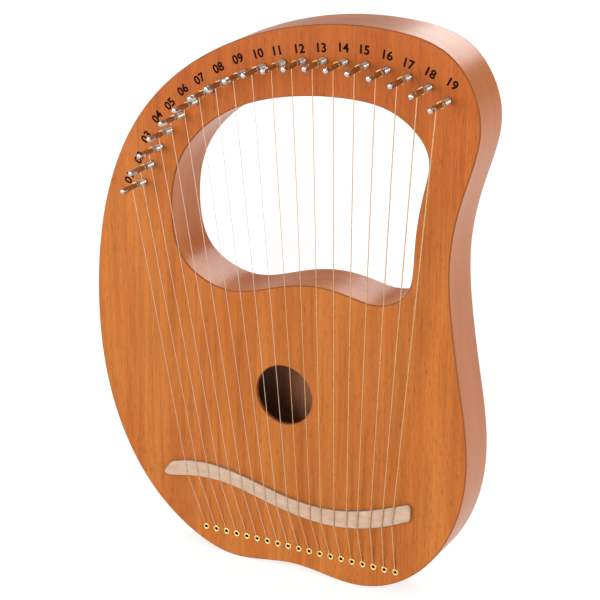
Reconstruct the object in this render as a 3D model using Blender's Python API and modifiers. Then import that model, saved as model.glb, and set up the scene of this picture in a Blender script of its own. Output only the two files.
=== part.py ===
"""Nineteen-string lyre harp: hollow wooden body with a hand window, a bridge,
nineteen steel strings and nineteen turning pins.

Frame: X to the player's right as the soundboard is seen, Y from the soundboard
to the back, Z up. The two lobes of the lower rim stand on Z = 0.
"""
import bpy
import bmesh
import numpy as np
from math import pi, cos, sin, radians, hypot, atan2, acos

MM = 0.001

# ---------------------------------------------------------------- dimensions
FRONT_Y = -6.5 * MM            # front face of the soundboard
BACK_Y = 40.5 * MM             # rear face of the back plate
GAP = 0.3 * MM                 # glue line / running clearance between pieces
SOUNDBOARD_T = 3.0 * MM
BACK_T = 5.0 * MM
BACK_ROUND = 4.0 * MM          # rounding of the rear outer edge
RIM_T = 4.5                    # wall of the outer rim, in mm like the outlines
WINDOW_RIM_T = 4.0             # wall around the hand window

BODY_CTRL = [(153.5, 255), (151.5, 303.5), (161, 353.5), (173.5, 402.5), (166, 438.5),
             (143, 464.5), (98, 476), (31, 473), (-40, 451.5), (-95, 417), (-134.5, 371.5),
             (-161, 311), (-173, 240.5), (-171.5, 165.5), (-155.5, 101), (-125, 48.5),
             (-84.5, 14), (-40.5, 0), (14, 5.7), (66, 0.2), (108.5, 10.3), (143.5, 41.5),
             (165.5, 89), (170, 139), (165, 180.5), (159.5, 213)]
WINDOW_CTRL = [(-30, 401.5), (-67, 378), (-91, 345.5), (-98.5, 306), (-92.5, 270.5),
               (-76, 252.5), (-48, 243), (-20, 247), (6, 255), (35, 259.5), (62, 257),
               (86, 253), (104, 257.5), (116.5, 270), (120.5, 292.5), (122.5, 321.5),
               (128.5, 354.5), (130.5, 383), (107, 408.5), (73, 417.5), (21, 415)]
BRIDGE_UPPER = [(-100, 77.9), (-86, 81.2), (-68, 82.7), (-50.3, 81.4), (-31, 77.8), (-9.7, 72.7),
                (11.4, 68.1), (32.2, 65.8), (53, 66.3), (73.2, 69.7), (93.3, 75.8), (109.6, 82.1),
                (118.5, 85.6)]
BRIDGE_LOWER = [(119.4, 70.6), (109.6, 65.9), (95.1, 60.1), (76.8, 54.9), (56.5, 51.9),
                (35.8, 51.9), (15, 54.3), (-6.1, 58.7), (-27.3, 64.1), (-48.7, 68.3),
                (-66.4, 69.2), (-82.3, 67.9), (-96.4, 65.3)]
BRIDGE_H = 3.2 * MM
PIN_ARC = [(-124.5, 325), (-97, 374), (-60, 410.3), (-11.5, 435.2), (41, 446.4),
           (96.5, 445.4), (130.5, 436.5), (147, 427.4)]

STRINGS = 19
HOLE_CENTRE = (6.0, 159.5)     # sound hole
HOLE_R = 25.7
EYE_FIRST, EYE_PITCH, EYE_Z = -70.5, 10.02, 21.5      # row of string eyelets
EYE_HOLE_R = 2.0
BRIDGE_X = [-86.2, -75.3, -64.8, -54.2, -43.5, -32.3, -20.8, -10.1, 0.3, 11.3, 21.6, 32.5, 42.4,
            54.8, 66.3, 76.1, 88.0, 98.6, 107.9]      # strings over the bridge's lower edge

PIN_R = 2.5
WAIST_R = 2.2                  # where the wire is wound
WAIST = (10.6, 25.6)           # its heights
PIN_OUT = 34.0                 # pin above the soundboard
PIN_IN = 24.0                  # pin inside the block
PIN_BORE_R = 3.0
HEAD_L = 8.0                   # square wrench head
HEAD_AF = 4.0                  # across its flats
WRAP_H = 15.0                  # height where the string meets the pin
WRAP_PITCH = 1.6
PIN_BLOCK_T = 25.0
PIN_BLOCK_HALF = 11.0
HITCH_T = 20.0

# wire diameters in mm, string 1 (shortest) to 19 (longest)
WIRE_D = [0.36 + 0.012 * k for k in range(10)] + [0.58 + 0.045 * k for k in range(9)]

# ------------------------------------------------------------------- helpers
def spline(ctrl, n, closed=True):
    """n points on the smooth cubic curve through the control points."""
    p = np.array(ctrl, float)
    if closed:
        p = np.vstack([p, p[:1]])
    t = np.concatenate([[0.0], np.cumsum(np.hypot(*np.diff(p, axis=0).T) ** 0.5)])
    h = np.diff(t)
    m = len(h)
    if closed:
        a = np.zeros((m, m))
        b = np.zeros((m, 2))
        for i in range(m):
            q = (i - 1) % m
            a[i, q] += h[q]
            a[i, i] += 2 * (h[q] + h[i])
            a[i, (i + 1) % m] += h[i]
            b[i] = 6 * ((p[i + 1] - p[i]) / h[i] - (p[i] - p[q]) / h[q])
        c = np.linalg.solve(a, b)
        c = np.vstack([c, c[:1]])
    else:
        a = np.eye(m + 1)
        b = np.zeros((m + 1, 2))
        for i in range(1, m):
            a[i, i - 1:i + 2] = h[i - 1], 2 * (h[i - 1] + h[i]), h[i]
            b[i] = 6 * ((p[i + 1] - p[i]) / h[i] - (p[i] - p[i - 1]) / h[i - 1])
        c = np.linalg.solve(a, b)
    u = np.linspace(0, t[-1], n, endpoint=not closed)
    k = np.clip(np.searchsorted(t, u, side='right') - 1, 0, m - 1)
    s, r, w = (u - t[k])[:, None], (t[k + 1] - u)[:, None], h[k][:, None]
    return ((c[k] * r ** 3 + c[k + 1] * s ** 3) / (6 * w)
            + (p[k] / w - c[k] * w / 6) * r + (p[k + 1] / w - c[k + 1] * w / 6) * s)


def offset(pts, d):
    """Closed outline moved by d to its left, which is inwards when it runs
    anticlockwise."""
    q = np.array(pts)
    t = np.roll(q, -1, axis=0) - np.roll(q, 1, axis=0)
    t /= np.hypot(t[:, 0], t[:, 1])[:, None]
    return q + d * np.c_[-t[:, 1], t[:, 0]]


def along(pts, count):
    """count points at equal distances along an open curve."""
    s = np.concatenate([[0.0], np.cumsum(np.hypot(*np.diff(pts, axis=0).T))])
    u = np.linspace(0, s[-1], count)
    return np.c_[np.interp(u, s, pts[:, 0]), np.interp(u, s, pts[:, 1])]


def circle(cx, cz, r, n, turn=0.0):
    return [(cx + r * cos(2 * pi * k / n + turn), cz + r * sin(2 * pi * k / n + turn))
            for k in range(n)]


def area(pts):
    q = np.array(pts)
    x, z = q[:, 0], q[:, 1]
    return 0.5 * float((x * np.roll(z, -1) - np.roll(x, -1) * z).sum())


def material(name, colour, rough, metal=0.0):
    m = bpy.data.materials.new(name)
    m.use_nodes = True
    b = m.node_tree.nodes["Principled BSDF"]
    b.inputs["Base Color"].default_value = (*colour, 1.0)
    b.inputs["Roughness"].default_value = rough
    b.inputs["Metallic"].default_value = metal
    m.diffuse_color = (*colour, 1.0)
    return m


def curve_object(name, points, depth, dimension, cyclic, radii=None):
    cu = bpy.data.curves.new(name, 'CURVE')
    cu.dimensions = dimension
    for line in points:
        sp = cu.splines.new('POLY')
        sp.points.add(len(line) - 1)
        for i, q in enumerate(line):
            z = q[2] if len(q) > 2 else 0.0
            sp.points[i].co = (q[0], q[1], z, 1.0)
            if radii is not None:
                sp.points[i].radius = radii[i]
        sp.use_cyclic_u = cyclic
    ob = bpy.data.objects.new(name, cu)
    return ob


def to_mesh(ob, into, mat):
    """Replace a curve object by its welded mesh."""
    bpy.context.view_layer.update()
    dep = bpy.context.evaluated_depsgraph_get()
    me = bpy.data.meshes.new_from_object(ob.evaluated_get(dep))
    bm = bmesh.new()
    bm.from_mesh(me)
    bmesh.ops.remove_doubles(bm, verts=bm.verts, dist=1e-6)
    bmesh.ops.recalc_face_normals(bm, faces=bm.faces)
    bm.to_mesh(me)
    bm.free()
    name = ob.name
    place = ob.matrix_world.copy()
    bpy.data.objects.remove(ob)
    new = bpy.data.objects.new(name, me)
    new.matrix_world = place
    into.objects.link(new)
    me.materials.clear()
    me.materials.append(mat)
    return new


def flat_piece(name, outlines, y0, y1, mat, into):
    """Plate with the given outlines (first the edge, then its holes), in mm,
    standing between the planes y0 and y1."""
    lines = [[(q[0] * MM, q[1] * MM) for q in o] for o in outlines]
    ob = curve_object(name, lines, 0, '2D', True)
    ob.data.fill_mode = 'BOTH'
    ob.data.extrude = (y1 - y0) / 2
    ob.location = (0, (y0 + y1) / 2, 0)
    ob.rotation_euler = (pi / 2, 0, 0)
    into.objects.link(ob)
    return to_mesh(ob, into, mat)


# --------------------------------------------------------------------- scene
for ob in list(bpy.data.objects):
    bpy.data.objects.remove(ob)

parts = bpy.data.collections.new("lyre_harp")
cutters = bpy.data.collections.new("cutters")
bpy.context.scene.collection.children.link(parts)
bpy.context.scene.collection.children.link(cutters)

FACE = material("mahogany_face", (0.56, 0.15, 0.030), 0.42)
SIDE = material("mahogany_side", (0.50, 0.19, 0.085), 0.40)
MAPLE = material("maple_block", (0.62, 0.45, 0.28), 0.55)
SPRUCE = material("spruce_brace", (0.70, 0.53, 0.33), 0.60)
BEECH = material("beech_bridge", (0.66, 0.46, 0.33), 0.60)
NICKEL = material("nickel_pin", (0.78, 0.77, 0.74), 0.14, 1.0)
STEEL = material("steel_wire", (0.72, 0.72, 0.72), 0.25, 1.0)
BRONZE = material("bronze_wound_wire", (0.80, 0.56, 0.26), 0.30, 1.0)

body = spline(BODY_CTRL, 26 * 4)
if area(body) < 0:
    body = body[::-1]
body -= [(body[:, 0].max() + body[:, 0].min()) / 2, body[:, 1].min()]   # centred, on Z = 0
window = spline(WINDOW_CTRL, 21 * 3)
if area(window) < 0:
    window = window[::-1]
pins = along(spline(PIN_ARC, 400, closed=False), STRINGS)
eyes = [(EYE_FIRST + EYE_PITCH * k, EYE_Z) for k in range(STRINGS)]

# ----------------------------------------------------------------- the plates
holes = [circle(*HOLE_CENTRE, HOLE_R, 28)]
holes += [circle(x, z, PIN_BORE_R, 12) for x, z in pins]
holes += [circle(x, z, EYE_HOLE_R, 8) for x, z in eyes]
flat_piece("soundboard", [body, window] + holes, FRONT_Y, FRONT_Y + SOUNDBOARD_T, FACE, parts)

inner_y0 = FRONT_Y + SOUNDBOARD_T + GAP
inner_y1 = BACK_Y - BACK_T - GAP
flat_piece("side_rim", [body, offset(body, RIM_T)], inner_y0, inner_y1, SIDE, parts)
flat_piece("window_rim", [offset(window, -WINDOW_RIM_T), window], inner_y0, inner_y1, SIDE, parts)

back = flat_piece("back_plate", [body, window], BACK_Y - BACK_T, BACK_Y, SIDE, parts)
bm = bmesh.new()
bm.from_mesh(back.data)
rear = min(v.co.z for v in bm.verts)
outer = set((round(float(x) * MM, 6), round(float(z) * MM, 6)) for x, z in body)
def on_edge(v):
    return abs(v.co.z - rear) < 1e-6 and (round(v.co.x, 6), round(v.co.y, 6)) in outer
edges = [e for e in bm.edges if all(on_edge(v) for v in e.verts)
         and len(e.link_faces) == 2 and abs(e.link_faces[0].normal.z - e.link_faces[1].normal.z) > 0.5]
bmesh.ops.bevel(bm, geom=edges, offset=BACK_ROUND, offset_type='OFFSET', segments=2,
                profile=0.5, affect='EDGES', clamp_overlap=True)
bm.to_mesh(back.data)
bm.free()

# ------------------------------------------------------------- inner structure
arc = spline(PIN_ARC, 25, closed=False)
t0, t1 = arc[1] - arc[0], arc[-1] - arc[-2]
arc = np.vstack([arc[0] - t0 / hypot(*t0) * 12.0, arc, arc[-1] + t1 / hypot(*t1) * 12.0])
tan = np.gradient(arc, axis=0)
tan /= np.hypot(tan[:, 0], tan[:, 1])[:, None]
nor = np.c_[-tan[:, 1], tan[:, 0]]
band = list(arc + nor * PIN_BLOCK_HALF) + list((arc - nor * PIN_BLOCK_HALF)[::-1])
flat_piece("pin_block", [band] + [circle(x, z, PIN_BORE_R, 12) for x, z in pins],
           inner_y0, inner_y0 + PIN_BLOCK_T * MM, MAPLE, parts)

low = [tuple(p) for p in offset(body, RIM_T + GAP / MM)]
start = max(range(len(low)), key=lambda i: low[i][1])
low = low[start:] + low[:start]
low = [p for p in low if p[1] < 34.0]
flat_piece("hitch_block", [low] + [circle(x, z, EYE_HOLE_R, 8) for x, z in eyes],
           inner_y0, inner_y0 + HITCH_T * MM, MAPLE, parts)

def bar(name, z, height, y0, y1, margin, mat):
    """Straight brace across the body at height z, ending short of the rim."""
    rim = offset(body, RIM_T)
    lefts, rights = [], []
    for level in np.linspace(z - height / 2, z + height / 2, 5):
        for p, q in zip(rim, np.roll(rim, -1, axis=0)):
            if (p[1] > level) != (q[1] > level):
                x = p[0] + (q[0] - p[0]) * (level - p[1]) / (q[1] - p[1])
                (lefts if x < 0 else rights).append(x)
    left, right = max(lefts) + margin, min(rights) - margin
    bpy.ops.mesh.primitive_cube_add(size=1.0)
    ob = bpy.context.object
    ob.name = ob.data.name = name
    for c in list(ob.users_collection):
        c.objects.unlink(ob)
    parts.objects.link(ob)
    size = ((right - left) * MM, y1 - y0, height * MM)
    for v in ob.data.vertices:
        v.co = tuple(v.co[i] * size[i] for i in range(3))
    ob.location = ((left + right) / 2 * MM, (y0 + y1) / 2, z * MM)
    bev = ob.modifiers.new("Bevel", 'BEVEL')
    bev.width, bev.segments = 0.8 * MM, 1
    ob.data.materials.append(mat)
    return ob

bar("soundboard_brace_upper", 206, 9, inner_y0, inner_y0 + 11 * MM, 0.8, SPRUCE)
bar("soundboard_brace_lower", 112, 9, inner_y0, inner_y0 + 11 * MM, 0.8, SPRUCE)
bar("back_brace_upper", 214, 11, inner_y1 - 9 * MM, inner_y1, 0.8, SPRUCE)
bar("back_brace_lower", 96, 11, inner_y1 - 9 * MM, inner_y1, 0.8, SPRUCE)

plate = [(-104, 60), (-60, 64), (-20, 60), (20, 48), (60, 45.5), (100, 54), (124, 68),
         (124, 91), (92, 80), (60, 72), (30, 73), (-8, 82), (-45, 90), (-80, 90), (-104, 80)]
flat_piece("bridge_plate", [spline(plate, 45)], inner_y0, inner_y0 + 2.5 * MM, SPRUCE, parts)

# ------------------------------------------------------------------ the bridge
upper = [tuple(p) for p in spline(BRIDGE_UPPER, 22, closed=False)]
lower = [tuple(p) for p in spline(BRIDGE_LOWER, 22, closed=False)]
line = upper + [(122.2, 85.8), (123.4, 83.7), (123.5, 74.6), (122.2, 71.8)] + lower + \
    [(-104.4, 64.0), (-108.6, 64.6), (-110, 66.2), (-107.1, 71.3), (-103.5, 76.0)]
if area(line) < 0:
    line = line[::-1]
bridge_y1 = FRONT_Y - GAP
bridge_y0 = FRONT_Y - BRIDGE_H
bridge = flat_piece("bridge", [line], bridge_y0, bridge_y1, BEECH, parts)
bm = bmesh.new()
bm.from_mesh(bridge.data)
top = max(v.co.z for v in bm.verts)
rim_edges = [e for e in bm.edges if all(abs(v.co.z - top) < 1e-6 for v in e.verts)
             and abs(e.link_faces[0].normal.z - e.link_faces[1].normal.z) > 0.5]
bmesh.ops.bevel(bm, geom=rim_edges, offset=0.8 * MM, offset_type='OFFSET', segments=1,
                profile=0.5, affect='EDGES', clamp_overlap=True)
bm.to_mesh(bridge.data)
bm.free()

# -------------------------------------------------------------- tuning pins
profile = [(0.0, PIN_OUT), (1.7, PIN_OUT), (2.3, PIN_OUT - 1.0), (PIN_R, PIN_OUT - 2.6),
           (PIN_R, WAIST[1] + 0.5), (WAIST_R, WAIST[1]), (WAIST_R, WAIST[0]),
           (PIN_R, WAIST[0] - 0.5), (PIN_R, -PIN_IN + 2.0), (1.6, -PIN_IN), (0.0, -PIN_IN)]
me = bpy.data.meshes.new("tuning_pin")
me.from_pydata([(x * MM, 0.0, z * MM) for x, z in profile],
               [(i, i + 1) for i in range(len(profile) - 1)], [])
turned = bpy.data.objects.new("tuning_pin_blank", me)
cutters.objects.link(turned)
sc = turned.modifiers.new("Screw", 'SCREW')
sc.axis, sc.angle = 'Z', 2 * pi
sc.steps = sc.render_steps = 12
sc.use_merge_vertices, sc.merge_threshold = True, 1e-5
sc.use_normal_calculate = False

half = HEAD_AF / 2
square = [(half, half), (-half, half), (-half, -half), (half, -half)]
head_cut = curve_object("head_flats", [[(x * MM, y * MM) for x, y in circle(0, 0, 4.0, 8)],
                                       [(x * MM, y * MM) for x, y in square]], 0, '2D', True)
head_cut.data.fill_mode = 'BOTH'
head_cut.data.extrude = 5.0 * MM
head_cut.location = (0, 0, (PIN_OUT - HEAD_L + 5.0) * MM)
cutters.objects.link(head_cut)
head_cut = to_mesh(head_cut, cutters, NICKEL)

bpy.ops.mesh.primitive_cylinder_add(vertices=8, radius=0.65 * MM, depth=8 * MM,
                                    location=(0, 0, (WRAP_H - 3.0) * MM),
                                    rotation=(0, pi / 2, 0))
wire_hole = bpy.context.object
wire_hole.name = "wire_hole"
for c in list(wire_hole.users_collection):
    c.objects.unlink(wire_hole)
cutters.objects.link(wire_hole)

for tool in (head_cut, wire_hole):
    b = turned.modifiers.new(tool.name, 'BOOLEAN')
    b.operation, b.solver, b.object = 'DIFFERENCE', 'EXACT', tool
bpy.context.view_layer.update()
dep = bpy.context.evaluated_depsgraph_get()
pin_mesh = bpy.data.meshes.new_from_object(turned.evaluated_get(dep))
bm = bmesh.new()
bm.from_mesh(pin_mesh)
bmesh.ops.remove_doubles(bm, verts=bm.verts, dist=1e-6)
bmesh.ops.dissolve_limit(bm, angle_limit=radians(0.5), verts=bm.verts, edges=bm.edges)
bm.to_mesh(pin_mesh)
bm.free()
pin_mesh.shade_smooth()
pin_mesh.set_sharp_from_angle(angle=radians(40))
pin_mesh.materials.clear()
pin_mesh.materials.append(NICKEL)
for ob in (turned, head_cut, wire_hole):
    ob.hide_render = True
    ob.display_type = 'WIRE'

for k, (x, z) in enumerate(pins):
    ob = bpy.data.objects.new("tuning_pin_%02d" % (k + 1), pin_mesh)
    ob.location = (x * MM, FRONT_Y, z * MM)
    ob.rotation_euler = (pi / 2, 0, 0)
    parts.objects.link(ob)

# ----------------------------------------------------------------- the strings
low_curve = spline(BRIDGE_LOWER, 400, closed=False)
for k in range(STRINGS):
    r = WIRE_D[k] / 2
    px, pz = pins[k]
    bx = BRIDGE_X[k]
    bz = float(np.interp(-bx, -low_curve[:, 0], low_curve[:, 1]))
    ex, ez = eyes[k]
    ring = WAIST_R + 0.55 + r
    wrap_h = WRAP_H
    over = BRIDGE_H / MM + 0.3 + r
    # tangent from the bridge edge to the left side of the pin
    d = hypot(px - bx, pz - bz)
    phi = atan2(bz - pz, bx - px) - acos(ring / d)
    pts, rad = [], []
    turns, per = 1.25, 12
    steps = int(turns * per)
    for i in range(steps, -1, -1):
        a = phi - 2 * pi * i / per
        pts.append((px + ring * cos(a), pz + ring * sin(a), wrap_h - WRAP_PITCH * i / per))
        rad.append(1.0)
    pts += [(bx, bz + 0.6, over), (bx + (ex - bx) * 0.02, bz - 1.6, over - 0.25)]
    pts += [(ex + (bx - ex) * 0.03, ez + 1.4, 0.5 + r), (ex, ez + 0.5, 0.1),
            (ex, ez + 0.1, -0.9), (ex, ez, -2.0)]
    end = -(SOUNDBOARD_T / MM + HITCH_T) - 1.2
    pts += [(ex, ez, end), (ex, ez, end - 0.1), (ex, ez, end - 0.5), (ex, ez, end - 3.6)]
    ball = 1.9 / r
    rad += [1.0] * 7 + [ball * 0.8, ball, ball]
    ob = curve_object("string_%02d" % (k + 1),
                      [[(x * MM, z * MM, y * MM) for x, z, y in pts]], 0, '3D', False, rad)
    ob.data.bevel_depth = r * MM
    ob.data.bevel_resolution = 1
    ob.data.use_fill_caps = True
    ob.data.twist_mode = 'MINIMUM'
    ob.location = (0, FRONT_Y, 0)
    ob.rotation_euler = (pi / 2, 0, 0)
    parts.objects.link(ob)
    mesh_ob = to_mesh(ob, parts, BRONZE if k >= 10 else STEEL)
    mesh_ob.data.shade_smooth()
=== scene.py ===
from math import pi, cos, sin, radians, hypot, atan2, acos, sqrt

import bpy
import bmesh
import numpy as np
from mathutils import Vector, Matrix
from mathutils.geometry import delaunay_2d_cdt


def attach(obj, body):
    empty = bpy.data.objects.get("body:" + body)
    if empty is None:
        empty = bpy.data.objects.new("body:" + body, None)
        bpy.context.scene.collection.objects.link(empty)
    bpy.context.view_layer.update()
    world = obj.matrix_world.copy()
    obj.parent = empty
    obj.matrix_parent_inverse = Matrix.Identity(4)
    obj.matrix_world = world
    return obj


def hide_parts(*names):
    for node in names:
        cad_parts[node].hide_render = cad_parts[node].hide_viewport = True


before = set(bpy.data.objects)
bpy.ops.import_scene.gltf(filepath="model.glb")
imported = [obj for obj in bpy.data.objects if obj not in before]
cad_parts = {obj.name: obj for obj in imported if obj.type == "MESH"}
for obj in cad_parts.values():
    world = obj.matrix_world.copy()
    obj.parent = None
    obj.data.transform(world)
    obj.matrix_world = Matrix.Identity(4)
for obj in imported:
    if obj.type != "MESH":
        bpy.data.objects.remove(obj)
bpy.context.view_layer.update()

MM = 0.001
scene = bpy.context.scene

# ------------------------------------------------------------ design (mm), as in the CAD
FRONT = -6.5
BACK = 40.5
BOARD_T = 3.0
BACK_T = 5.0
RIM_T = 4.5
WINDOW_RIM_T = 4.0
BACK_ROUND = 7.0
EDGE_ROUND = 1.3

BODY_CTRL = [(153.5, 255), (151.5, 303.5), (161, 353.5), (173.5, 402.5), (166, 438.5),
             (143, 464.5), (98, 476), (31, 473), (-40, 451.5), (-95, 417), (-134.5, 371.5),
             (-161, 311), (-173, 240.5), (-171.5, 165.5), (-155.5, 101), (-125, 48.5),
             (-84.5, 14), (-40.5, 0), (14, 5.7), (66, 0.2), (108.5, 10.3), (143.5, 41.5),
             (165.5, 89), (170, 139), (165, 180.5), (159.5, 213)]
WINDOW_CTRL = [(-30, 401.5), (-67, 378), (-91, 345.5), (-98.5, 306), (-92.5, 270.5),
               (-76, 252.5), (-48, 243), (-20, 247), (6, 255), (35, 259.5), (62, 257),
               (86, 253), (104, 257.5), (116.5, 270), (120.5, 292.5), (122.5, 321.5),
               (128.5, 354.5), (130.5, 383), (107, 408.5), (73, 417.5), (21, 415)]
BRIDGE_UPPER = [(-100, 77.9), (-86, 81.2), (-68, 82.7), (-50.3, 81.4), (-31, 77.8), (-9.7, 72.7),
                (11.4, 68.1), (32.2, 65.8), (53, 66.3), (73.2, 69.7), (93.3, 75.8), (109.6, 82.1),
                (118.5, 85.6)]
BRIDGE_LOWER = [(119.4, 70.6), (109.6, 65.9), (95.1, 60.1), (76.8, 54.9), (56.5, 51.9),
                (35.8, 51.9), (15, 54.3), (-6.1, 58.7), (-27.3, 64.1), (-48.7, 68.3),
                (-66.4, 69.2), (-82.3, 67.9), (-96.4, 65.3)]
BRIDGE_H = 3.2
PIN_ARC = [(-124.5, 325), (-97, 374), (-60, 410.3), (-11.5, 435.2), (41, 446.4),
           (96.5, 445.4), (130.5, 436.5), (147, 427.4)]
STRINGS = 19
HOLE_C, HOLE_R = (6.0, 159.5), 25.7
EYE_FIRST, EYE_PITCH, EYE_Z = -70.5, 10.02, 21.5
BRIDGE_X = [-86.2, -75.3, -64.8, -54.2, -43.5, -32.3, -20.8, -10.1, 0.3, 11.3, 21.6, 32.5, 42.4,
            54.8, 66.3, 76.1, 88.0, 98.6, 107.9]
PIN_R, WAIST_R, PIN_OUT, PIN_IN = 2.5, 2.2, 34.0, 24.0
WRAP_H = 15.0
WIRE_D = [0.36 + 0.012 * k for k in range(10)] + [0.58 + 0.045 * k for k in range(9)]


# ------------------------------------------------------------ curves
def spline(ctrl, n, closed=True):
    p = np.array(ctrl, float)
    if closed:
        p = np.vstack([p, p[:1]])
    t = np.concatenate([[0.0], np.cumsum(np.hypot(*np.diff(p, axis=0).T) ** 0.5)])
    h = np.diff(t)
    m = len(h)
    if closed:
        a = np.zeros((m, m))
        b = np.zeros((m, 2))
        for i in range(m):
            q = (i - 1) % m
            a[i, q] += h[q]
            a[i, i] += 2 * (h[q] + h[i])
            a[i, (i + 1) % m] += h[i]
            b[i] = 6 * ((p[i + 1] - p[i]) / h[i] - (p[i] - p[q]) / h[q])
        c = np.linalg.solve(a, b)
        c = np.vstack([c, c[:1]])
    else:
        a = np.eye(m + 1)
        b = np.zeros((m + 1, 2))
        for i in range(1, m):
            a[i, i - 1:i + 2] = h[i - 1], 2 * (h[i - 1] + h[i]), h[i]
            b[i] = 6 * ((p[i + 1] - p[i]) / h[i] - (p[i] - p[i - 1]) / h[i - 1])
        c = np.linalg.solve(a, b)
    u = np.linspace(0, t[-1], n, endpoint=not closed)
    k = np.clip(np.searchsorted(t, u, side='right') - 1, 0, m - 1)
    s, r, w = (u - t[k])[:, None], (t[k + 1] - u)[:, None], h[k][:, None]
    return ((c[k] * r ** 3 + c[k + 1] * s ** 3) / (6 * w)
            + (p[k] / w - c[k] * w / 6) * r + (p[k + 1] / w - c[k + 1] * w / 6) * s)


def area(q):
    x, z = q[:, 0], q[:, 1]
    return 0.5 * float((x * np.roll(z, -1) - np.roll(x, -1) * z).sum())


def anticlockwise(q):
    q = np.array(q, float)
    return q if area(q) > 0 else q[::-1].copy()


def offset(q, d):
    """Inwards by d for an anticlockwise outline."""
    t = np.roll(q, -1, axis=0) - np.roll(q, 1, axis=0)
    t /= np.hypot(t[:, 0], t[:, 1])[:, None]
    return q + d * np.c_[-t[:, 1], t[:, 0]]


def circle(cx, cz, r, n):
    a = np.arange(n) * 2 * pi / n
    return np.c_[cx + r * np.cos(a), cz + r * np.sin(a)]


def along(pts, count):
    s = np.concatenate([[0.0], np.cumsum(np.hypot(*np.diff(pts, axis=0).T))])
    u = np.linspace(0, s[-1], count)
    return np.c_[np.interp(u, s, pts[:, 0]), np.interp(u, s, pts[:, 1])]


def inside(pt, poly):
    x, z = pt[:, 0], pt[:, 1]
    hit = np.zeros(len(pt), bool)
    for a, b in zip(poly, np.roll(poly, -1, axis=0)):
        c = (a[1] > z) != (b[1] > z)
        with np.errstate(divide='ignore', invalid='ignore'):
            hit ^= c & (x < (b[0] - a[0]) * (z - a[1]) / (b[1] - a[1]) + a[0])
    return hit


def start_at(q, x, z):
    """Renumber an outline so that it starts at the point nearest (x, z)."""
    i = int(np.argmin((q[:, 0] - x) ** 2 + (q[:, 1] - z) ** 2))
    return np.roll(q, -i, axis=0)


# ------------------------------------------------------------ meshes
def new_object(name, verts, faces, mats, face_mats=None, smooth=True, scale=MM):
    me = bpy.data.meshes.new(name)
    me.from_pydata([tuple(c * scale for c in v) for v in verts], [], faces)
    for m in mats:
        me.materials.append(m)
    if face_mats is not None:
        me.polygons.foreach_set("material_index", face_mats)
    me.polygons.foreach_set("use_smooth", [smooth] * len(me.polygons))
    me.update()
    ob = bpy.data.objects.new(name, me)
    scene.collection.objects.link(ob)
    return ob


def weighted(ob, angle=35):
    ob.data.set_sharp_from_angle(angle=radians(angle))
    w = ob.modifiers.new("WeightedNormal", 'WEIGHTED_NORMAL')
    w.mode, w.weight, w.keep_sharp = 'FACE_AREA', 80, True


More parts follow.
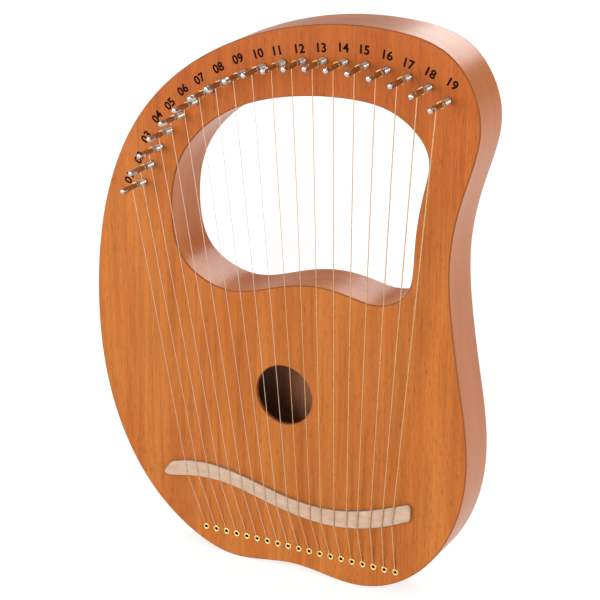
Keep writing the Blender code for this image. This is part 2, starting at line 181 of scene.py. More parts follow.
def plate(name, loops, mats, caps, extra_grid=0.0):
    """A flat wooden piece. Each loop is (outline at inset 0, [(inset, y, slot), ...] from
    front to back, is_hole). caps = (front slot, back slot). Insets move an edge into the wood."""
    verts, faces, slots, grain = [], [], [], {}
    first, last = [], []
    for base, rows, hole in loops:
        seg = np.hypot(*np.diff(base, axis=0, append=base[:1]).T)
        s = np.concatenate([[0.0], np.cumsum(seg)])
        n = len(base)
        ids = []
        depth = 0.0
        for j, (ins, y, _) in enumerate(rows):
            q = offset(base, -ins if hole else ins)
            start = len(verts)
            verts += [(x, y, z) for x, z in q]
            ids.append(start)
        for j in range(len(rows) - 1):
            slot = rows[j + 1][2]
            for i in range(n):
                k = (i + 1) % n
                a, b = ids[j] + i, ids[j] + k
                c, d = ids[j + 1] + k, ids[j + 1] + i
                f = (a, b, c, d) if hole else (a, d, c, b)
                cs = {a: s[i], d: s[i], b: s[i + 1], c: s[i + 1]}
                grain[len(faces)] = [cs[v] for v in f]
                faces.append(f)
                slots.append(slot)
        first.append((ids[0], n, hole))
        last.append((ids[-1], n, hole))
    for which, slot, front in ((first, caps[0], True), (last, caps[1], False)):
        ids, edges, polys = [], [], []
        for start, n, hole in which:
            off = len(ids)
            ids += list(range(start, start + n))
            edges += [(off + i, off + (i + 1) % n) for i in range(n)]
            polys.append((np.array([(verts[v][0], verts[v][2]) for v in range(start, start + n)]), hole))
        co = [Vector((verts[v][0], verts[v][2])) for v in ids]
        m0 = len(co)
        if extra_grid:
            lo = polys[0][0].min(0)
            hi = polys[0][0].max(0)
            gx, gz = np.meshgrid(np.arange(lo[0], hi[0], extra_grid), np.arange(lo[1], hi[1], extra_grid))
            g = np.c_[gx.ravel(), gz.ravel()]
            ok = np.ones(len(g), bool)
            for poly, hole in polys:
                ok &= inside(g, poly) != hole
                near = np.min(np.hypot(g[:, None, 0] - poly[None, :, 0], g[:, None, 1] - poly[None, :, 1]), axis=1)
                ok &= near > extra_grid * 0.45
            g = g[ok]
            y = verts[ids[0]][1]
            for x, z in g:
                ids.append(len(verts))
                verts.append((float(x), y, float(z)))
                co.append(Vector((float(x), float(z))))
        res = delaunay_2d_cdt(co, edges, [], 0, 1e-7)
        vco, tris, orig = res[0], res[2], res[3]
        back_to = {i: o[0] for i, o in enumerate(orig) if len(o)}
        tri = [t for t in tris if all(v in back_to for v in t)]
        cen = np.array([np.mean([vco[v] for v in t], axis=0) for t in tri])
        ok = np.ones(len(tri), bool)
        for poly, hole in polys:
            ok &= inside(cen, poly) != hole
        for t, keep in zip(tri, ok):
            if not keep:
                continue
            p = [vco[v] for v in t]
            turn = (p[1][0] - p[0][0]) * (p[2][1] - p[0][1]) - (p[1][1] - p[0][1]) * (p[2][0] - p[0][0])
            f = [ids[back_to[v]] for v in t]
            # anticlockwise in (x, z) faces -Y
            if (turn > 0) != front:
                f = f[::-1]
            faces.append(tuple(f))
            slots.append(slot)
    ob = new_object(name, verts, faces, mats, slots)
    # arc length along the edge, for grain that follows a bent rim
    att = ob.data.attributes.new("grain", 'FLOAT_VECTOR', 'CORNER')
    vals = np.zeros((len(ob.data.loops), 3), np.float32)
    li = 0
    for fi, f in enumerate(faces):
        for c, v in enumerate(f):
            if fi in grain:
                vals[li] = (grain[fi][c] * MM, verts[v][1] * MM, 0.0)
            else:
                vals[li] = (verts[v][2] * MM, verts[v][1] * MM, verts[v][0] * MM)
            li += 1
    att.data.foreach_set("vector", vals.ravel())
    return ob


def arc_rows(r, y, steps, slots):
    """Quarter-round from a flat front cap down to a wall: rows of (inset, y, slot)."""
    rows = []
    for k in range(steps + 1):
        a = pi / 2 * k / steps
        rows.append((r * (1 - sin(a)), y + r * (1 - cos(a)), slots[0] if k < 2 else slots[1] if k < steps else slots[2]))
    return rows


def revolve(name, profile, n, mats, round_to=None, turn=0.0, slot_at=None):
    """Closed turned solid round +Z from (radius, height) pairs that start and end on the axis,
    bottom to top. round_to(h) gives the half width of a square section, or None."""
    verts, faces, slots = [], [], []
    rings = []
    for r, h in profile:
        if r == 0:
            rings.append([len(verts)])
            verts.append((0, 0, h))
            continue
        ring = []
        for i in range(n):
            a = 2 * pi * i / n
            rr = r
            half = round_to(h) if round_to else None
            if half:
                rr = min(r, half / max(abs(cos(a)), abs(sin(a))))
            ring.append(len(verts))
            verts.append((rr * cos(a + turn), rr * sin(a + turn), h))
        rings.append(ring)
    for (a, b), low, high in zip(zip(rings, rings[1:]), profile, profile[1:]):
        slots += [slot_at((low[1] + high[1]) / 2) if slot_at else 0] * n
        for i in range(n):
            k = (i + 1) % n
            if len(a) == 1:
                faces.append((a[0], b[k], b[i]))
            elif len(b) == 1:
                faces.append((a[i], a[k], b[0]))
            else:
                faces.append((a[i], a[k], b[k], b[i]))
    return new_object(name, verts, faces, mats, slots)


def turned_ring(name, profile, n, mats):
    """Closed ring of revolution round +Z; profile is a closed loop of (radius, height),
    anticlockwise in the (radius, height) plane."""
    verts = [(r * cos(2 * pi * i / n), r * sin(2 * pi * i / n), h) for i in range(n) for r, h in profile]
    m = len(profile)
    faces = []
    for i in range(n):
        k = (i + 1) % n
        for j in range(m):
            l = (j + 1) % m
            faces.append((i * m + j, k * m + j, k * m + l, i * m + l))
    return new_object(name, verts, faces, mats)


def tube(name, pts, radii, sides, mats):
    """Wire along pts (mm) with closed ends; carries the length along it as an attribute."""
    p = np.array(pts, float)
    t = np.gradient(p, axis=0)
    t /= np.linalg.norm(t, axis=1)[:, None]
    up = np.cross(t[0], (0.0, 1.0, 0.1))
    up /= np.linalg.norm(up)
    s = np.concatenate([[0.0], np.cumsum(np.linalg.norm(np.diff(p, axis=0), axis=1))])
    verts, faces = [], []
    for i in range(len(p)):
        up = up - t[i] * np.dot(up, t[i])
        up /= np.linalg.norm(up)
        side = np.cross(t[i], up)
        for j in range(sides):
            a = 2 * pi * j / sides
            verts.append(tuple(p[i] + radii[i] * (cos(a) * up + sin(a) * side)))
    for i in range(len(p) - 1):
        for j in range(sides):
            k = (j + 1) % sides
            faces.append((i * sides + j, i * sides + k, (i + 1) * sides + k, (i + 1) * sides + j))
    faces.append(tuple(range(sides))[::-1])
    faces.append(tuple((len(p) - 1) * sides + j for j in range(sides)))
    ob = new_object(name, verts, faces, mats)
    att = ob.data.attributes.new("run", 'FLOAT', 'POINT')
    att.data.foreach_set("value", np.repeat(s, sides).astype(np.float32) * MM)
    ob.data.set_sharp_from_angle(angle=radians(50))
    return ob


# ------------------------------------------------------------ materials
class Mat:
    def __init__(self, name, **sockets):
        self.m = bpy.data.materials.new(name)
        self.m.use_nodes = True
        self.t = self.m.node_tree
        self.b = self.t.nodes["Principled BSDF"]
        for k, v in sockets.items():
            self.b.inputs[k.replace("_", " ")].default_value = v

    def node(self, kind, **props):
        n = self.t.nodes.new(kind)
        for k, v in props.items():
            setattr(n, k, v)
        return n

    def link(self, a, b):
        self.t.links.new(a, b)

    def coord(self, attribute=None):
        if attribute:
            n = self.node("ShaderNodeAttribute", attribute_name=attribute)
            return n.outputs["Vector"]
        return self.node("ShaderNodeTexCoord").outputs["Object"]

    def noise(self, vec, scale, detail=2.0, rough=0.5, dist=0.0, shift=(0, 0, 0)):
        m = self.node("ShaderNodeMapping")
        m.inputs["Scale"].default_value = scale
        m.inputs["Location"].default_value = shift
        self.link(vec, m.inputs["Vector"])
        n = self.node("ShaderNodeTexNoise")
        n.inputs["Scale"].default_value = 1.0
        n.inputs["Detail"].default_value = detail
        n.inputs["Roughness"].default_value = rough
        n.inputs["Distortion"].default_value = dist
        self.link(m.outputs["Vector"], n.inputs["Vector"])
        return n.outputs["Fac"]

    def ramp(self, fac, stops, interpolation='LINEAR'):
        n = self.node("ShaderNodeValToRGB")
        n.color_ramp.interpolation = interpolation
        e = n.color_ramp.elements
        while len(e) < len(stops):
            e.new(0.5)
        for el, (pos, col) in zip(e, stops):
            el.position = pos
            el.color = (*col, 1.0) if not isinstance(col, (int, float)) else (col, col, col, 1.0)
        self.link(fac, n.inputs["Fac"])
        return n.outputs["Color"]

    def mix(self, fac, a, b, blend='MIX'):
        n = self.node("ShaderNodeMix", data_type='RGBA', blend_type=blend)
        for sock, v in ((n.inputs[0], fac), (n.inputs[6], a), (n.inputs[7], b)):
            if hasattr(v, "links"):
                self.link(v, sock)
            elif isinstance(v, tuple):
                sock.default_value = (*v, 1.0)
            else:
                sock.default_value = v
        return n.outputs[2]

    def math(self, op, a, b=0.0, clamp=False):
        n = self.node("ShaderNodeMath", operation=op, use_clamp=clamp)
        for sock, v in ((n.inputs[0], a), (n.inputs[1], b)):
            if hasattr(v, "links"):
                self.link(v, sock)
            else:
                sock.default_value = v
        return n.outputs[0]

    def bump(self, height, strength, distance):
        n = self.node("ShaderNodeBump")
        n.inputs["Strength"].default_value = strength
        n.inputs["Distance"].default_value = distance
        self.link(height, n.inputs["Height"])
        self.link(n.outputs["Normal"], self.b.inputs["Normal"])
        return n


def wood(name, dark, mid, light, along_axis, attribute=None, fibre=1.0, pores=0.5, band=1.0,
         rough=(0.40, 0.50), coat=0.0, coat_rough=0.2, spec=0.4, bump=0.2, seed=0.0, top_tint=None):
    """Varnished or bare wood with broad colour bands, fibres and pores along one axis."""
    M = Mat(name, Specular_IOR_Level=spec, Coat_Weight=coat, Coat_Roughness=coat_rough)
    v = M.coord(attribute)

    def sc(across, lengthwise):
        s = [across, across, across]
        s[along_axis] = lengthwise
        return tuple(s)
    broad = M.noise(v, sc(38, 3.0), 3, 0.55, 0.4, (seed, seed * 2, seed))
    streak = M.noise(v, sc(260, 7.0), 3, 0.6, 0.15, (seed, 1.0, seed))
    fine = M.noise(v, sc(1250 * fibre, 26), 3, 0.65, 0.0, (0.0, seed, 3.0))
    cloud = M.noise(v, sc(14, 9.0), 2, 0.5, 0.6, (seed * 3, 2.0, 0.0))
    pore = M.noise(v, sc(2300, 120), 1, 0.5, 0.0, (5.0, seed, 1.0))
    base = M.ramp(broad, [(0.30, dark), (0.50, mid), (0.72, light)])
    base = M.mix(M.math('MULTIPLY', M.ramp(cloud, [(0.35, 0.0), (0.70, 1.0)]), 0.45 * band), base, light)
    tone = M.ramp(streak, [(0.30, 0.80), (0.52, 1.0), (0.72, 1.10)])
    base = M.mix(0.85 * band if band < 1.18 else 1.0, base, tone, 'MULTIPLY')
    fib = M.ramp(fine, [(0.30, 0.84), (0.55, 1.0), (0.75, 1.07)])
    base = M.mix(0.9, base, fib, 'MULTIPLY')
    pm = M.ramp(pore, [(0.60, 0.0), (0.69, 1.0)])
    base = M.mix(M.math('MULTIPLY', pm, pores), base, tuple(c * 0.42 for c in dark))
    if top_tint:
        x = M.node("ShaderNodeSeparateXYZ")
        M.link(v, x.inputs[0])
        up = M.ramp(M.math('MULTIPLY', x.outputs["Z"], 2.0, clamp=True), [(0.60, 0.0), (0.86, 1.0)])
        base = M.mix(up, base, M.mix(1.0, base, top_tint, 'MULTIPLY'))
    M.link(base, M.b.inputs["Base Color"])
    r = M.ramp(streak, [(0.3, rough[0]), (0.7, rough[1])])
    M.link(r, M.b.inputs["Roughness"])
    h = M.math('SUBTRACT', fine, M.math('MULTIPLY', pm, 0.8))
    M.bump(h, bump, 0.00012)
    return M.m


FACE_D, FACE_M, FACE_L = (0.324, 0.0805, 0.0115), (0.374, 0.104, 0.0157), (0.420, 0.134, 0.0240)
face_mat = wood("mahogany_face", FACE_D, FACE_M, FACE_L, 2, pores=0.55, band=1.0, rough=(0.42, 0.52),
                spec=0.13, coat=0.0, coat_rough=0.25, bump=0.20, seed=1.7, top_tint=(0.98, 0.80, 0.66))
SIDE_D, SIDE_M, SIDE_L = (0.362, 0.090, 0.0142), (0.418, 0.115, 0.0188), (0.470, 0.146, 0.0280)
side_mat = wood("mahogany_rim", SIDE_D, SIDE_M, SIDE_L, 0, attribute="grain", pores=0.30, band=0.9,
                rough=(0.28, 0.36), spec=0.42, coat=0.0, coat_rough=0.26, bump=0.10, seed=4.2)
back_mat = wood("mahogany_back", (0.32, 0.085, 0.0135), (0.37, 0.110, 0.019), (0.42, 0.14, 0.030), 2, pores=0.45, band=1.0,
                rough=(0.40, 0.50), spec=0.4, coat=0.12, coat_rough=0.28, bump=0.2, seed=9.1)
# Darker copy of the rim wood for the rounded front edges and the sound hole wall: painted shade where the edge turns
# away from the light.
edge_shade_mat = wood("mahogany_edge_painted_shade", (0.19, 0.048, 0.0085), (0.24, 0.062, 0.0110), (0.29, 0.080, 0.0150), 0, attribute="grain",
                pores=0.15, band=0.7, rough=(0.40, 0.48), spec=0.2, bump=0.1, seed=2.2)
window_mat = wood("mahogany_window", (0.372, 0.091, 0.0134), (0.428, 0.115, 0.0180), (0.480, 0.146, 0.0265), 0, attribute="grain",
                  pores=0.30, band=0.9, rough=(0.31, 0.39), spec=0.36, bump=0.12, seed=7.3)
inner_mat = wood("mahogany_inside", (0.30, 0.105, 0.045), (0.37, 0.14, 0.065), (0.44, 0.18, 0.09), 2, pores=0.4,
                 rough=(0.62, 0.72), spec=0.3, bump=0.3, seed=6.0)
maple_mat = wood("maple_block", (0.52, 0.36, 0.22), (0.60, 0.44, 0.28), (0.66, 0.50, 0.34), 0, pores=0.1,
                 rough=(0.55, 0.65), bump=0.15, seed=3.3)
spruce_mat = wood("spruce_brace", (0.60, 0.43, 0.25), (0.70, 0.53, 0.33), (0.76, 0.60, 0.40), 0, pores=0.0,
                  rough=(0.58, 0.68), bump=0.2, seed=7.3)


def bridge_material():
    M = Mat("beech_bridge", Specular_IOR_Level=0.35)
    v = M.coord()
    broad = M.noise(v, (60, 60, 190), 3, 0.55, 0.5)
    fine = M.noise(v, (260, 900, 1500), 3, 0.65)
    fleck = M.noise(v, (430, 900, 1100), 2, 0.6, 0.6, (3.0, 1.0, 2.0))
    pink = M.noise(v, (150, 150, 300), 2, 0.5, 0.8, (1.0, 7.0, 0.0))
    base = M.ramp(broad, [(0.30, (0.378, 0.250, 0.170)), (0.52, (0.420, 0.290, 0.203)), (0.72, (0.462, 0.336, 0.246))])
    base = M.mix(M.math('MULTIPLY', M.ramp(pink, [(0.5, 0.0), (0.68, 1.0)]), 0.5), base, (0.45, 0.262, 0.192))
    base = M.mix(0.8, base, M.ramp(fine, [(0.3, 0.86), (0.55, 1.0), (0.75, 1.06)]), 'MULTIPLY')
    fm = M.ramp(fleck, [(0.60, 0.0), (0.70, 1.0)])
    base = M.mix(M.math('MULTIPLY', fm, 0.65), base, (0.24, 0.142, 0.090))
    M.link(base, M.b.inputs["Base Color"])
    M.link(M.ramp(fine, [(0.3, 0.52), (0.7, 0.64)]), M.b.inputs["Roughness"])
    M.bump(M.math('SUBTRACT', fine, fm), 0.2, 0.0001)
    return M.m


def metal(name, colour, dark, rough, scratch=(900, 900, 900), spots=0.0, bump=0.05, winding=0.0):
    M = Mat(name, Metallic=1.0)
    v = M.coord()
    haze = M.noise(v, (420, 420, 420), 3, 0.6)
    fine = M.noise(v, scratch, 2, 0.6, 0.0, (2.0, 5.0, 1.0))
    base = M.ramp(haze, [(0.32, dark), (0.58, colour)])
    if spots:
        base = M.mix(M.math('MULTIPLY', M.ramp(fine, [(0.60, 0.0), (0.72, 1.0)]), spots), base, dark)
    M.link(base, M.b.inputs["Base Color"])
    M.link(M.ramp(haze, [(0.3, rough[0]), (0.7, rough[1])]), M.b.inputs["Roughness"])
    if winding:
        a = M.node("ShaderNodeAttribute", attribute_name="run")
        w = M.math('SINE', M.math('MULTIPLY', a.outputs["Fac"], 2 * pi / winding))
        M.bump(w, 0.25, 0.00003)
    else:
        M.bump(fine, bump, 0.00005)
    return M.m


bridge_mat = bridge_material()
nickel = metal("nickel_plate", (0.54, 0.53, 0.515), (0.36, 0.35, 0.335), (0.08, 0.18), (500, 500, 2600), 0.15, 0.05)
thread = metal("nickel_thread", (0.60, 0.585, 0.56), (0.40, 0.385, 0.36), (0.26, 0.38), (500, 500, 2600), 0.2, 0.05)
# Warm tint on the plain steel wire: painted reflection of the orange soundboard.
steel_warm_reflection = metal("plain_steel_wire_painted_reflection", (0.60, 0.475, 0.385), (0.55, 0.435, 0.35), (0.36, 0.44), bump=0.01)
bronze = metal("bronze_winding", (0.62, 0.400, 0.205), (0.50, 0.315, 0.150), (0.26, 0.36), winding=0.0004)
brass = metal("brass_eyelet", (0.82, 0.58, 0.23), (0.62, 0.40, 0.13), (0.12, 0.22), bump=0.05)


def ink_material():
    M = Mat("number_ink", Specular_IOR_Level=0.02)
    v = M.coord()
    n = M.noise(v, (1800, 1800, 1800), 2, 0.6)
    M.link(M.ramp(n, [(0.3, (0.004, 0.0015, 0.001)), (0.75, (0.012, 0.005, 0.003))]), M.b.inputs["Base Color"])
    M.link(M.ramp(n, [(0.3, 0.45), (0.7, 0.6)]), M.b.inputs["Roughness"])
    return M.m


ink = ink_material()
# Near-black lining for the eyelet's bore: painted shade inside the hole, not the brass's own colour.
bore_shade = Mat("eyelet_bore", Metallic=0.6)
bore_shade_noise = bore_shade.noise(bore_shade.coord(), (900, 900, 900), 2, 0.6)
bore_shade.link(bore_shade.ramp(bore_shade_noise, [(0.3, (0.010, 0.007, 0.004)), (0.7, (0.030, 0.020, 0.010))]), bore_shade.b.inputs["Base Color"])
bore_shade.link(bore_shade.ramp(bore_shade_noise, [(0.3, 0.5), (0.7, 0.65)]), bore_shade.b.inputs["Roughness"])
# Darker copy of the beech for the band of the bridge's side next to the board: painted shade and contact shadow along
# its foot.
bridge_side_shade = wood("beech_bridge_side_painted_shade", (0.20, 0.110, 0.062), (0.25, 0.145, 0.088), (0.30, 0.18, 0.115), 0, pores=0.2,
                   rough=(0.55, 0.65), spec=0.3, bump=0.1, seed=8.0)

# ------------------------------------------------------------ outlines
body = anticlockwise(spline(BODY_CTRL, 26 * 14))
body -= [(body[:, 0].max() + body[:, 0].min()) / 2, body[:, 1].min()]
body = start_at(body, 14, 5)
window = start_at(anticlockwise(spline(WINDOW_CTRL, 21 * 12)), 35, 259)
pins = along(spline(PIN_ARC, 400, closed=False), STRINGS)
eyes = [(EYE_FIRST + EYE_PITCH * k, EYE_Z) for k in range(STRINGS)]

# ------------------------------------------------------------ soundboard
y0, y1 = FRONT, FRONT + BOARD_T
# Slot 1 on the roundovers and on the sound hole wall takes the painted-shade edge wood.
loops = [(body, arc_rows(EDGE_ROUND, y0, 6, (0, 1, 3)) + [(0.0, y1 - 0.02, 3)], False),
         (window, arc_rows(EDGE_ROUND, y0, 6, (0, 1, 4)) + [(0.0, y1 - 0.02, 4)], True),
         (circle(*HOLE_C, HOLE_R, 96), arc_rows(0.8, y0, 4, (1, 1, 1)) + [(0.0, y1, 1)], True)]
for x, z in pins:
    loops.append((circle(x, z, PIN_R + 0.12, 24), [(0.25, y0, 0), (0.0, y0 + 0.25, 0), (0.0, y1, 2)], True))
for x, z in eyes:
    loops.append((circle(x, z, 2.0, 20), [(0.0, y0, 0), (0.0, y1, 2)], True))
board = plate("soundboard_wood", loops, [face_mat, edge_shade_mat, inner_mat, side_mat, window_mat], (0, 2), extra_grid=9.0)
weighted(board)
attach(board, "body"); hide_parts("soundboard")

# ------------------------------------------------------------ rims
ra, rb = y1, BACK - BACK_T
inner = offset(body, RIM_T)


def back_inset(y):
    d = max(0.0, y - (BACK - BACK_ROUND))
    return BACK_ROUND - sqrt(BACK_ROUND ** 2 - d * d)


rows = [(0.0, ra, 0)] + [(0.0, ra + (33.0 - ra) * k / 6, 0) for k in range(1, 7)] + \
       [(back_inset(y), y, 0) for y in (33.9, 34.7, rb)]
rim = plate("outer_rim_wall", [(body, rows, False),
                               (offset(body, RIM_T), [(0.0, ra, 1), (0.0, rb, 1)], True)],
            [side_mat, inner_mat], (1, 1))
weighted(rim)
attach(rim, "body"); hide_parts("side_rim")

rows = [(0.0, ra, 0)] + [(0.0, ra + (rb - ra) * k / 6, 0) for k in range(1, 7)]
wrim = plate("window_wall", [(offset(window, -WINDOW_RIM_T), [(0.0, ra, 1), (0.0, rb, 1)], False),
                             (window, rows, True)],
             [window_mat, inner_mat], (1, 1))
weighted(wrim)
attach(wrim, "body"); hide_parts("window_rim")

# ------------------------------------------------------------ back plate
rows = [(back_inset(rb + 0.02), rb + 0.02, 1)]
a0 = atan2(rb + 0.02 - (BACK - BACK_ROUND), sqrt(BACK_ROUND ** 2 - (rb + 0.02 - BACK + BACK_ROUND) ** 2))
for k in range(1, 10):
    a = a0 + (pi / 2 - a0) * k / 9
    rows.append((BACK_ROUND * (1 - cos(a)), BACK - BACK_ROUND + BACK_ROUND * sin(a), 1 if k < 5 else 0))
wrows = [(0.0, rb + 0.02, 3), (0.0, BACK - 1.5, 3)]
for k in range(1, 6):
    a = pi / 2 * k / 5
    wrows.append((1.5 * (1 - cos(a)), BACK - 1.5 + 1.5 * sin(a), 3 if k < 3 else 0))
back = plate("back_plate_wood", [(body, rows, False), (window, wrows, True)],
             [back_mat, side_mat, inner_mat, window_mat], (2, 0), extra_grid=9.0)
weighted(back)
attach(back, "body"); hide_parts("back_plate")

# ------------------------------------------------------------ bridge
upper = spline(BRIDGE_UPPER, 90, closed=False)
lower = spline(BRIDGE_LOWER, 90, closed=False)
end_r = [(119.9, 86.1), (121.0, 86.3), (122.1, 85.9), (122.9, 85.0), (123.4, 83.6), (123.5, 79.0), (123.5, 74.8),
         (123.2, 73.3), (122.6, 72.2), (121.4, 71.4)]
end_l = [(-100.5, 64.5), (-104.2, 64.0), (-107.2, 64.2), (-109.1, 64.9), (-109.9, 66.0), (-109.6, 67.3), (-107.1, 71.3),
         (-104.9, 74.3), (-103.2, 76.1), (-101.7, 77.2)]
outline = anticlockwise(np.vstack([upper, end_r, lower, end_l]))
bt, bb = FRONT - BRIDGE_H, FRONT - 0.02
brow = []
R = 1.0
for k in range(6):
    a = pi / 2 * k / 5
    brow.append((R * (1 - sin(a)), bt + R * (1 - cos(a)), 0))
# The last 1.7 mm of the side, at the board, takes the painted-shade beech.
brow.append((0.0, bb - 1.7, 0))
brow.append((0.0, bb, 1))
bridge = plate("bridge_strip", [(outline, brow, False)], [bridge_mat, bridge_side_shade], (0, 1), extra_grid=4.0)
weighted(bridge, 50)
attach(bridge, "body"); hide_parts("bridge")

# ------------------------------------------------------------ tuning pins
prof = [(0.0, -PIN_IN), (1.2, -PIN_IN), (1.6, -PIN_IN + 0.3), (PIN_R - 0.1, -PIN_IN + 2.0), (PIN_R - 0.1, -1.0)]
h = 0.2
while h < 9.0:                       # fine rolled thread on the foot of the pin
    prof += [(PIN_R - 0.20, h), (PIN_R, h + 0.26), (PIN_R, h + 0.52), (PIN_R - 0.20, h + 0.80)]
    h += 1.0
prof += [(PIN_R - 0.02, h + 0.1), (PIN_R - 0.02, 10.2), (PIN_R - 0.12, 10.4), (WAIST_R + 0.04, 10.9), (WAIST_R, 11.1),
         (WAIST_R, 14), (WAIST_R, 18), (WAIST_R, 22), (WAIST_R, 25.0), (WAIST_R + 0.03, 25.4), (2.38, 25.9), (2.46, 26.3),
         (2.46, 26.9), (2.46, 27.0), (2.46, 27.7), (2.46, 28.5), (2.46, 31.6), (2.36, 32.5), (2.1, 33.3), (1.75, 33.8), (1.3, PIN_OUT),
         (0.6, PIN_OUT), (0.0, PIN_OUT)]


def head_half(hh):
    if hh < 26.95:
        return None
    if hh < 28.2:
        return 2.02 + 0.42 * max(0.0, (28.2 - hh) / 1.25)
    return 2.02 - 0.05 * (hh - 28.2) / 6.0


blank = revolve("pin_blank", prof, 32, [nickel, thread], head_half,
                slot_at=lambda hh: 1 if hh < 10.3 else 0)
bpy.ops.mesh.primitive_cylinder_add(vertices=20, radius=0.62 * MM, depth=8 * MM,
                                    location=(0, 0, 12.0 * MM), rotation=(0, pi / 2, 0))
drill = bpy.context.object
b = blank.modifiers.new("WireHole", 'BOOLEAN')
b.operation, b.solver, b.object = 'DIFFERENCE', 'EXACT', drill
bpy.context.view_layer.update()
pin_mesh = bpy.data.meshes.new_from_object(blank.evaluated_get(bpy.context.evaluated_depsgraph_get()))
pin_mesh.name = "tuning_pin_mesh"
bpy.data.objects.remove(blank)
bpy.data.objects.remove(drill)
pin_mesh.shade_smooth()
pin_mesh.set_sharp_from_angle(angle=radians(32))

pin_turn = [radians((k * 47 + 13) % 90 - 45) for k in range(STRINGS)]
for k, (x, z) in enumerate(pins):
    ob = bpy.data.objects.new("pin_%02d_turned" % (k + 1), pin_mesh)
    scene.collection.objects.link(ob)
    ob.matrix_world = Matrix.Translation((x * MM, FRONT * MM, z * MM)) @ Matrix.Rotation(pi / 2, 4, 'X') @ \
        Matrix.Rotation(pin_turn[k], 4, 'Z')
    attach(ob, "pin_%02d" % (k + 1))
    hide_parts("tuning_pin_%02d" % (k + 1))

# ------------------------------------------------------------ eyelets
eye_prof = [(1.30, -3.2), (1.70, -3.2), (1.92, -2.9), (1.95, 0.03), (2.80, 0.04), (2.95, 0.16), (2.88, 0.40), (2.55, 0.60),
            (2.10, 0.68), (1.72, 0.60), (1.45, 0.38), (1.33, 0.05), (1.30, -0.4)]
ring = turned_ring("eyelet_blank", eye_prof, 28, [brass])
eye_mesh = ring.data
eye_mesh.materials.append(bore_shade.m)
for f in eye_mesh.polygons:
    if f.center.z < 0.1 * MM and hypot(f.center.x, f.center.y) < 1.5 * MM:
        f.material_index = 1
eye_mesh.set_sharp_from_angle(angle=radians(60))
bpy.data.objects.remove(ring)
for k, (x, z) in enumerate(eyes):
    ob = bpy.data.objects.new("eyelet_%02d" % (k + 1), eye_mesh)
    scene.collection.objects.link(ob)
    ob.matrix_world = Matrix.Translation((x * MM, FRONT * MM, z * MM)) @ Matrix.Rotation(pi / 2, 4, 'X')
    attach(ob, "body")

# ------------------------------------------------------------ strings
low_curve = spline(BRIDGE_LOWER, 400, closed=False)


def bezier(a, b, c, n):
    a, b, c = (np.array(v, float) for v in (a, b, c))
    return [tuple((1 - t) ** 2 * a + 2 * t * (1 - t) * b + t * t * c) for t in np.linspace(0, 1, n)]


for k in range(STRINGS):
    r = WIRE_D[k] / 2 * (1.15 if k < 10 else 1.1)
    px, pz = pins[k]
    bx = BRIDGE_X[k]
    bz = float(np.interp(-bx, -low_curve[:, 0], low_curve[:, 1]))
    ex, ez = eyes[k]
    over = BRIDGE_H + r
    coil = WAIST_R + r + 0.03
    d = hypot(px - bx, pz - bz)
    phi = atan2(bz - pz, bx - px) - acos(coil / d)
    hole_a = pin_turn[k]                       # where the wire comes out of the pin
    # the coil starts at the hole near the foot and climbs in open turns to the take-off height
    total = (phi - hole_a) % (2 * pi) + 2 * pi
    start = phi - total
    n = int(total / (2 * pi) * 26)
    pts = []
    for i in range(n + 1):
        f = i / n
        a = start + total * f
        climb = 11.2 + (WRAP_H - 11.2) * f
        pts.append((px + coil * cos(a), FRONT - climb, pz + coil * sin(a)))
    top = pts[-1]
    edge = np.array((bx, FRONT - over, bz + 0.35))
    direction = edge - np.array(top)
    for f in (0.08, 0.3, 0.6, 0.9):
        pts.append(tuple(np.array(top) + direction * f))
    length = np.linalg.norm(direction)
    before = edge - direction / length * 1.6
    eye_in = np.array((ex, FRONT - 0.60 - r * 0.7, ez + 1.50))
    down = eye_in - edge
    down_l = np.linalg.norm(down)
    after = edge + down / down_l * 1.6
    pts += bezier(before, edge, after, 7)
    near = eye_in - down / down_l * 1.0
    inner_z = ez + 1.22 - r
    pts += bezier(near, eye_in + (0, -0.02, -0.32), (ex, FRONT + 1.3, inner_z), 8)
    deep = BOARD_T + 20.0
    pts += [(ex, FRONT + 3.5, inner_z), (ex, FRONT + deep, ez)]
    pts += [(ex, FRONT + deep + 1.1, ez), (ex, FRONT + deep + 1.2, ez), (ex, FRONT + deep + 1.6, ez), (ex, FRONT + deep + 4.2, ez),
            (ex, FRONT + deep + 4.6, ez)]
    # the winding thins out where it wraps the pin
    coil_r = r * (0.74 if k >= 10 else 1.0)
    radii = [coil_r] * (n + 1) + [r] * (len(pts) - 4 - (n + 1)) + [1.5, 1.9, 1.9, 1.5]
    ob = tube("string_%02d_wire" % (k + 1), pts, radii, 12, [bronze if k >= 10 else steel_warm_reflection])
    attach(ob, "body")
    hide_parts("string_%02d" % (k + 1))
    # free end of the wire, held in the pin's hole, turns with the pin
    c, s = cos(hole_a), sin(hole_a)
    end = [(px + c * q, FRONT - 12.2, pz + s * q) for q in (2.15, 1.0, -1.0, -2.3)] + \
          [(px - c * 2.75 + s * 0.25, FRONT - 12.35, pz - s * 2.75 - c * 0.25),
           (px - c * 3.0 + s * 0.75, FRONT - 12.7, pz - s * 3.0 - c * 0.75)]
    tail = tube("string_%02d_end" % (k + 1), end, [min(r, 0.45)] * len(end), 10, [bronze if k >= 10 else steel_warm_reflection])
    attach(tail, "pin_%02d" % (k + 1))

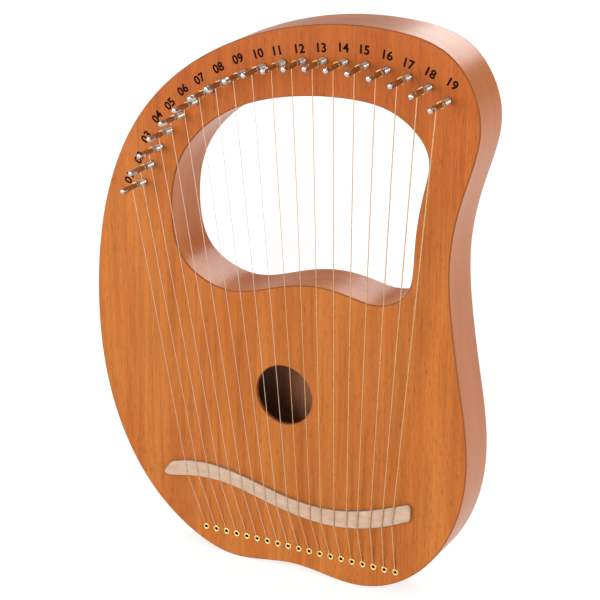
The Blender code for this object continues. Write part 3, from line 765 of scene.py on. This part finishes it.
# ------------------------------------------------------------ string numbers
NUMBER_AT = [(-138.5, 326), (-128.2, 344.6), (-121.0, 363.2), (-110.1, 381.4), (-97.9, 393.9), (-85.4, 407),
             (-69.8, 418), (-52.2, 429.1), (-34.3, 438.4), (-16.3, 444.5), (0.6, 448.9), (20, 452.6), (39.1, 455.6),
             (58.1, 457.8), (75.9, 458.2), (95.3, 456.2), (113, 451.7), (131.3, 446.9), (149.5, 440.7)]
NUMBER_TILT = [64, 63, 60, 54, 48, 41, 35, 30, 24, 19, 14, 9, 5, 1, -3, -8, -15, -24, -29]
for k in range(STRINGS):
    cu = bpy.data.curves.new("number_%02d" % (k + 1), 'FONT')
    cu.body = "%02d" % (k + 1)
    cu.size = 9.8 * MM
    cu.space_character = 1.04
    cu.align_x, cu.align_y = 'CENTER', 'CENTER'
    cu.offset = 0.15 * MM
    ob = bpy.data.objects.new("number_%02d_curve" % (k + 1), cu)
    scene.collection.objects.link(ob)
    bpy.context.view_layer.update()
    one = bpy.data.meshes.new_from_object(ob.evaluated_get(bpy.context.evaluated_depsgraph_get()))
    bpy.data.objects.remove(ob)
    cx, cz = NUMBER_AT[k]
    place = Matrix.Translation((cx * MM, (FRONT - 0.010) * MM, cz * MM)) @ \
        Matrix.Rotation(-radians(NUMBER_TILT[k]), 4, 'Y') @ Matrix.Rotation(pi / 2, 4, 'X')
    bm = bmesh.new()
    for i, (dx, dy) in enumerate(((-0.24, 0.0), (0.0, 0.18), (0.24, 0.0), (0.0, -0.18))):
        layer = one.copy()                # four thin prints on top of one another make a bold stroke
        layer.transform(place @ Matrix.Translation((dx * MM, dy * MM, i * 0.004 * MM)))
        bm.from_mesh(layer)
    me = bpy.data.meshes.new("number_%02d" % (k + 1))
    bm.to_mesh(me)
    bm.free()
    me.materials.clear()
    me.materials.append(ink)
    num = bpy.data.objects.new("number_%02d" % (k + 1), me)
    scene.collection.objects.link(num)
    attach(num, "body")

# ------------------------------------------------------------ inner pieces keep their CAD shape
for node, m in (("pin_block", maple_mat), ("hitch_block", maple_mat), ("soundboard_brace_upper", spruce_mat),
                ("soundboard_brace_lower", spruce_mat), ("back_brace_upper", spruce_mat),
                ("back_brace_lower", spruce_mat), ("bridge_plate", spruce_mat)):
    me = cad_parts[node].data
    me.materials.clear()
    me.materials.append(m)

# ------------------------------------------------------------ floor, light, camera
bpy.ops.mesh.primitive_plane_add(size=120.0, location=(0, 0, -0.0003))
floor = bpy.context.object
floor.name = "studio_floor"
fl = Mat("pale_floor", Base_Color=(0.32, 0.32, 0.32, 1.0), Roughness=0.9, Specular_IOR_Level=0.1,
         Emission_Color=(1.0, 1.0, 1.0, 1.0), Emission_Strength=0.74)
floor.data.materials.append(fl.m)


def softbox(name, loc, target, size, power, colour=(1, 1, 1)):
    li = bpy.data.lights.new(name, 'AREA')
    li.shape = 'RECTANGLE'
    li.size, li.size_y = size
    li.energy = power
    li.color = colour
    ob = bpy.data.objects.new(name, li)
    scene.collection.objects.link(ob)
    ob.location = loc
    ob.rotation_euler = (Vector(target) - Vector(loc)).to_track_quat('-Z', 'Y').to_euler()
    return ob


mid = (0.0, 0.0, 0.24)
softbox("back_top", (0.10, 1.80, 1.55), mid, (1.5, 1.0), 26)
softbox("front_left", (-1.35, -2.4, 0.85), mid, (2.4, 1.5), 76)
softbox("right", (2.3, -0.9, 0.9), mid, (0.9, 1.4), 29)
sun = bpy.data.lights.new("sky", 'SUN')
sun.energy = 0.45
sun.angle = radians(60)
sun_ob = bpy.data.objects.new("sky", sun)
scene.collection.objects.link(sun_ob)
sun_ob.location = (-1.0, -1.5, 3.0)
sun_ob.rotation_euler = Vector((0.28, 0.42, -1.0)).to_track_quat('-Z', 'Y').to_euler()

world = bpy.data.worlds.new("studio")
scene.world = world
world.use_nodes = True
bg = world.node_tree.nodes["Background"]
bg.inputs["Color"].default_value = (1.0, 1.0, 1.0, 1.0)
bg.inputs["Strength"].default_value = 0.45

cam_data = bpy.data.cameras.new("camera")
cam = bpy.data.objects.new("camera", cam_data)
scene.collection.objects.link(cam)
scene.camera = cam
cam_data.sensor_width = 36.0
cam_data.lens = 124.88
cam_data.clip_start, cam_data.clip_end = 0.05, 200.0
cam.location = (0.7593, -0.0065 - 1.3886, 0.8345)
cam.rotation_euler = Vector((-0.4397, 0.8269, -0.3505)).to_track_quat('-Z', 'Y').to_euler()

scene.view_settings.view_transform = 'Standard'
scene.view_settings.look = 'None'
scene.view_settings.exposure = 0.0
scene.view_settings.gamma = 1.0
